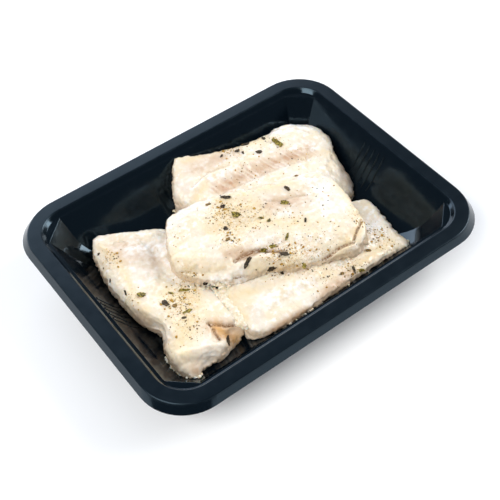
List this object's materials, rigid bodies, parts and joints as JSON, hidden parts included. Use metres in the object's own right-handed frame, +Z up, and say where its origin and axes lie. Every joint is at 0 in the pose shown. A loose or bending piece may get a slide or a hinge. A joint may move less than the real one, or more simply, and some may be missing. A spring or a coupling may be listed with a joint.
{
  "type": "meal tray with cooked fish fillets",
  "caption": "Open rectangular black plastic meal tray with a flat sealing rim, holding cooked white fish fillets with herbs and cracked pepper.",
  "frame": {"origin": "middle of the tray's underside, on the surface it stands on", "axes": "+X along the tray's long side, +Y across it, +Z up out of the tray"},
  "size_m": [0.227, 0.1744, 0.0329],
  "materials": {
    "tray": "black thermoformed polyester, glossy",
    "fish": "cooked white fish, moist, cream to pale yellow"
  },
  "bodies": {
    "root": {"tray": "tray", "fillet_left": "fish", "fillet_right": "fish", "fillet_back": "fish", "fillet_top": "fish"}
  },
  "joints": []
}
